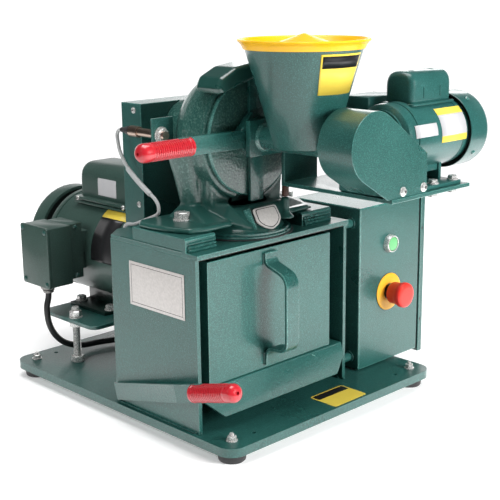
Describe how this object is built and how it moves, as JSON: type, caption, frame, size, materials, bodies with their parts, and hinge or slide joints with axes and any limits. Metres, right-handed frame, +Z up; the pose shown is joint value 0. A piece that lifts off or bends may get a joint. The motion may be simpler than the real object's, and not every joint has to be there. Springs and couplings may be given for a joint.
{
  "type": "coal pulverizer",
  "caption": "Bench coal pulverizer: grinding chamber with hinged door, screw feeder and hopper, belt drive, pull-out sample container and control box.",
  "frame": {"origin": "middle of the footprint, on the surface that the rubber feet stand on", "axes": "+X to the control box, +Y to the back, away from the door and the feeder, +Z up"},
  "size_m": [0.5602, 0.7124, 0.5591],
  "materials": {
    "hammered_green": "hammered enamel",
    "black_rubber": "matt",
    "zinc": "zinc plated",
    "gasket_felt": "matt",
    "steel": "machined",
    "motor_grey": "satin enamel",
    "yellow_plastic": "satin",
    "brass": "nickel worn",
    "grey_plastic": "satin",
    "label": "blank enamelled plate",
    "yellow_paint": "gloss enamel",
    "brown_rubber": "matt",
    "motor_green": "satin enamel",
    "red_vinyl": "glossy dipped vinyl",
    "green_plastic": "glossy",
    "red_plastic": "satin"
  },
  "bodies": {
    "frame": {"base_plate": "hammered_green", "rubber_feet": "black_rubber", "foot_bolts": "zinc", "left_wall": "hammered_green", "right_wall": "hammered_green", "back_wall": "hammered_green", "gasket": "gasket_felt", "top_plate": "hammered_green", "grinding_chamber": "hammered_green", "hammer_rotor": "steel", "fasteners": "zinc", "belt_guard": "hammered_green", "motor_plate": "hammered_green", "plate_stud": "zinc", "main_motor": "motor_grey", "motor_fan_cover": "motor_grey", "motor_capacitor": "motor_grey", "motor_conduit_box": "motor_grey", "cable_gland": "zinc", "motor_cable": "black_rubber", "control_box": "hammered_green", "box_cover": "hammered_green", "box_spacers": "hammered_green", "start_bezel": "zinc", "stop_ring": "yellow_plastic", "sensor_bracket": "hammered_green", "interlock_sensor": "brass", "sensor_cable": "grey_plastic", "nameplates": "label"},
    "door": {"door": "hammered_green", "feed_tube": "hammered_green", "hopper": "hammered_green", "hopper_guard": "yellow_paint", "feeder_shelf": "hammered_green", "shelf_rest": "brown_rubber", "chain_guard": "hammered_green", "feeder_motor": "motor_green", "feeder_fan_cover": "motor_green", "feeder_capacitor": "motor_green", "feeder_fasteners": "zinc"},
    "clamp": {"clamp_bar": "hammered_green", "clamp_grip": "red_vinyl"},
    "lever": {"lift_lever": "hammered_green", "lever_grip": "red_vinyl"},
    "shelf": {"lift_shelf": "hammered_green"},
    "container": {"sample_container": "hammered_green", "container_handle": "hammered_green"},
    "start": {"start_button": "green_plastic"},
    "stop": {"stop_button": "red_plastic"}
  },
  "joints": [
    {"name": "door_hinge", "type": "hinge", "parent": "frame", "child": "door", "pos_m": [0.0379, -0.13125, 0.4161], "axis": [0, 0, 1], "range_deg": [0, 100]},
    {"name": "clamp_turn", "type": "hinge", "parent": "door", "child": "clamp", "pos_m": [-0.0661, -0.13875, 0.4161], "axis": [0, 1, 0], "range_deg": [0, 22]},
    {"name": "lever_turn", "type": "hinge", "parent": "frame", "child": "lever", "pos_m": [-0.2201, -0.01125, 0.0471], "axis": [1, 0, 0], "range_deg": [-7, 0]},
    {"name": "shelf_lift", "type": "slide", "parent": "frame", "child": "shelf", "axis": [0, 0, 1], "range_m": [0, 0.006]},
    {"name": "container_slide", "type": "slide", "parent": "shelf", "child": "container", "axis": [0, -1, 0], "range_m": [0, 0.12]},
    {"name": "start_press", "type": "slide", "parent": "frame", "child": "start", "axis": [0, 1, 0], "range_m": [0, 0.003], "stiffness_N_per_m": 400},
    {"name": "stop_press", "type": "slide", "parent": "frame", "child": "stop", "axis": [0, 1, 0], "range_m": [0, 0.004], "stiffness_N_per_m": 400}
  ],
  "couplings": [
    {"joint": "shelf_lift", "follows": "lever_turn", "m_per_rad": -0.045}
  ]
}
